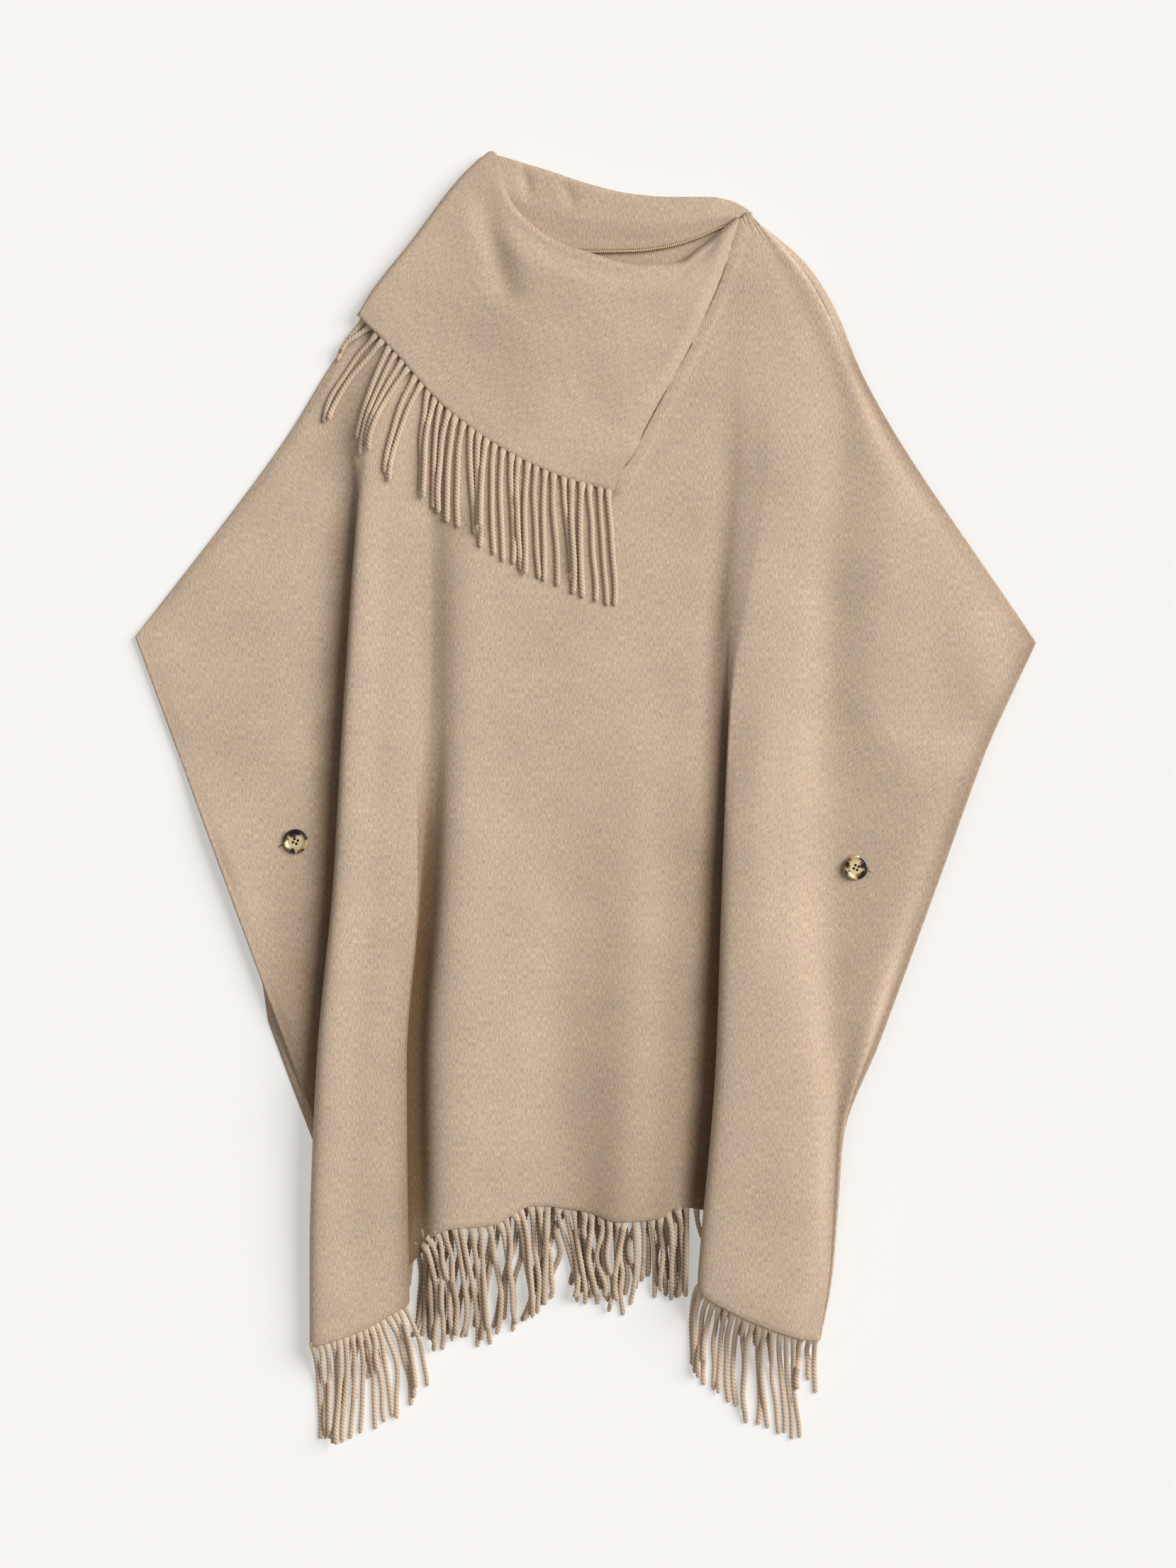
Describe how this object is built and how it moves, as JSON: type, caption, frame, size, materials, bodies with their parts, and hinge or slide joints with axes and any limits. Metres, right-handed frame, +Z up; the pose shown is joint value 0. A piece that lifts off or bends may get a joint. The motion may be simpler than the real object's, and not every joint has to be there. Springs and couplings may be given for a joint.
{
  "type": "wool poncho",
  "caption": "Wool poncho laid flat, front up, with pointed wings, deep front folds, a draped scarf collar, side buttons and twisted fringe at the collar's end and along the hem.",
  "frame": {"origin": "centre of the laid garment's outline, on the surface that it lies on", "axes": "+Y from the hem towards the neck, +Z up out of the front of the garment, +X to the right as seen from above with the neck at the top (the wearer's left side)"},
  "size_m": [0.7302, 1.0458, 0.0271],
  "materials": {
    "wool": "brushed, softly napped melange wool twill, camel beige",
    "yarn": "twisted two-ply wool fringe, camel beige",
    "button": "polished, marbled cream and dark brown horn look"
  },
  "bodies": {
    "root": {"front_panel": "wool", "back_panel": "wool", "collar_front": "wool", "collar_back": "wool", "collar_fringe": "yarn", "fringe_left": "yarn", "fringe_center": "yarn", "fringe_right": "yarn", "fringe_back": "yarn", "button_left": "button", "button_right": "button"}
  },
  "joints": []
}
